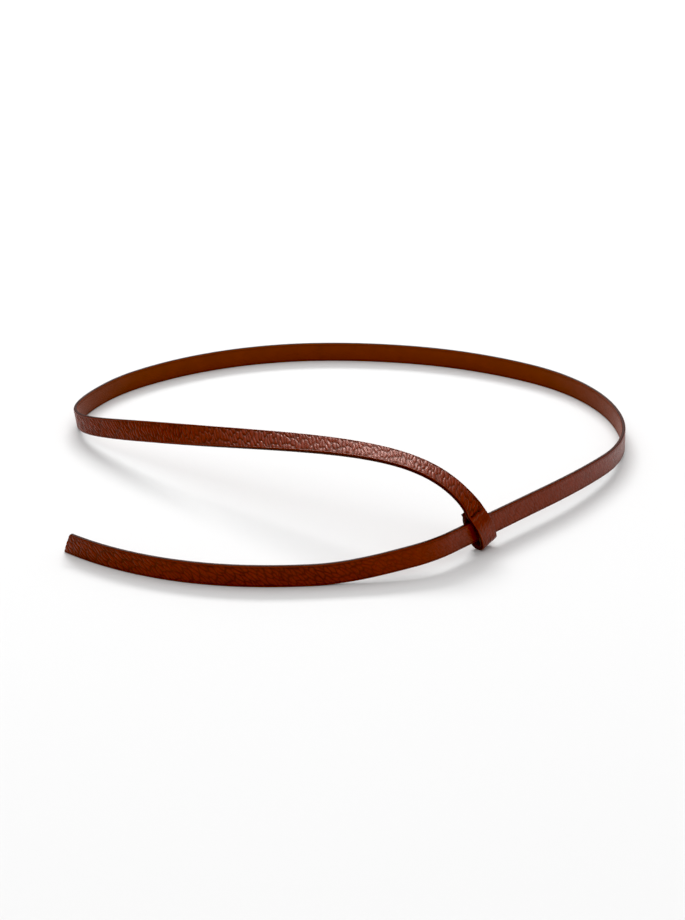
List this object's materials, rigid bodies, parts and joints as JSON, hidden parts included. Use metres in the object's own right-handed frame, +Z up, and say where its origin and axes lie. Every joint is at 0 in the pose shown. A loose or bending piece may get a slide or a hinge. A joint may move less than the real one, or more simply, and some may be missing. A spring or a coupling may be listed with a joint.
{
  "type": "leather belt",
  "caption": "Slim leather belt with no buckle: one end is folded into a stitched loop, and the other end slides through the loop and hangs as a free tail.",
  "frame": {"origin": "middle of the footprint of the whole belt, on the surface it stands on", "axes": "+Z up, across the width of the standing strap; +X to the right and -Y to the front, where the loop and the tail are"},
  "size_m": [0.3258, 0.3188, 0.0476],
  "materials": {
    "grain_leather": "pebbled grain, semi-gloss, burgundy brown",
    "lining_leather": "smooth fine grain, satin, burgundy brown",
    "stay_tape": "thin woven tape, matt, natural",
    "waxed_thread": "waxed thread, dark burgundy"
  },
  "bodies": {
    "strap": {"ring_grain_leather": "grain_leather", "ring_lining_leather": "lining_leather", "ring_stay_tape": "stay_tape", "arm_grain_leather": "grain_leather", "arm_lining_leather": "lining_leather", "arm_stay_tape": "stay_tape"},
    "tail": {"tail_grain_leather": "grain_leather", "tail_lining_leather": "lining_leather", "tail_stay_tape": "stay_tape"},
    "loop": {"loop_grain_leather": "grain_leather", "loop_lining_leather": "lining_leather", "loop_seam_thread": "waxed_thread"}
  },
  "joints": [
    {"name": "loop_slide", "type": "slide", "parent": "strap", "child": "loop", "axis": [0.6934, 0.7206, 0], "range_m": [-0.012, 0.045], "deforming": ["arm_grain_leather", "arm_lining_leather", "arm_stay_tape"]},
    {"name": "tail_swing", "type": "hinge", "parent": "strap", "child": "tail", "pos_m": [0.04396, -0.13907, 0.01144], "axis": [0, 0, 1], "range_deg": [-20, 20], "stiffness_Nm_per_rad": 0.012}
  ]
}
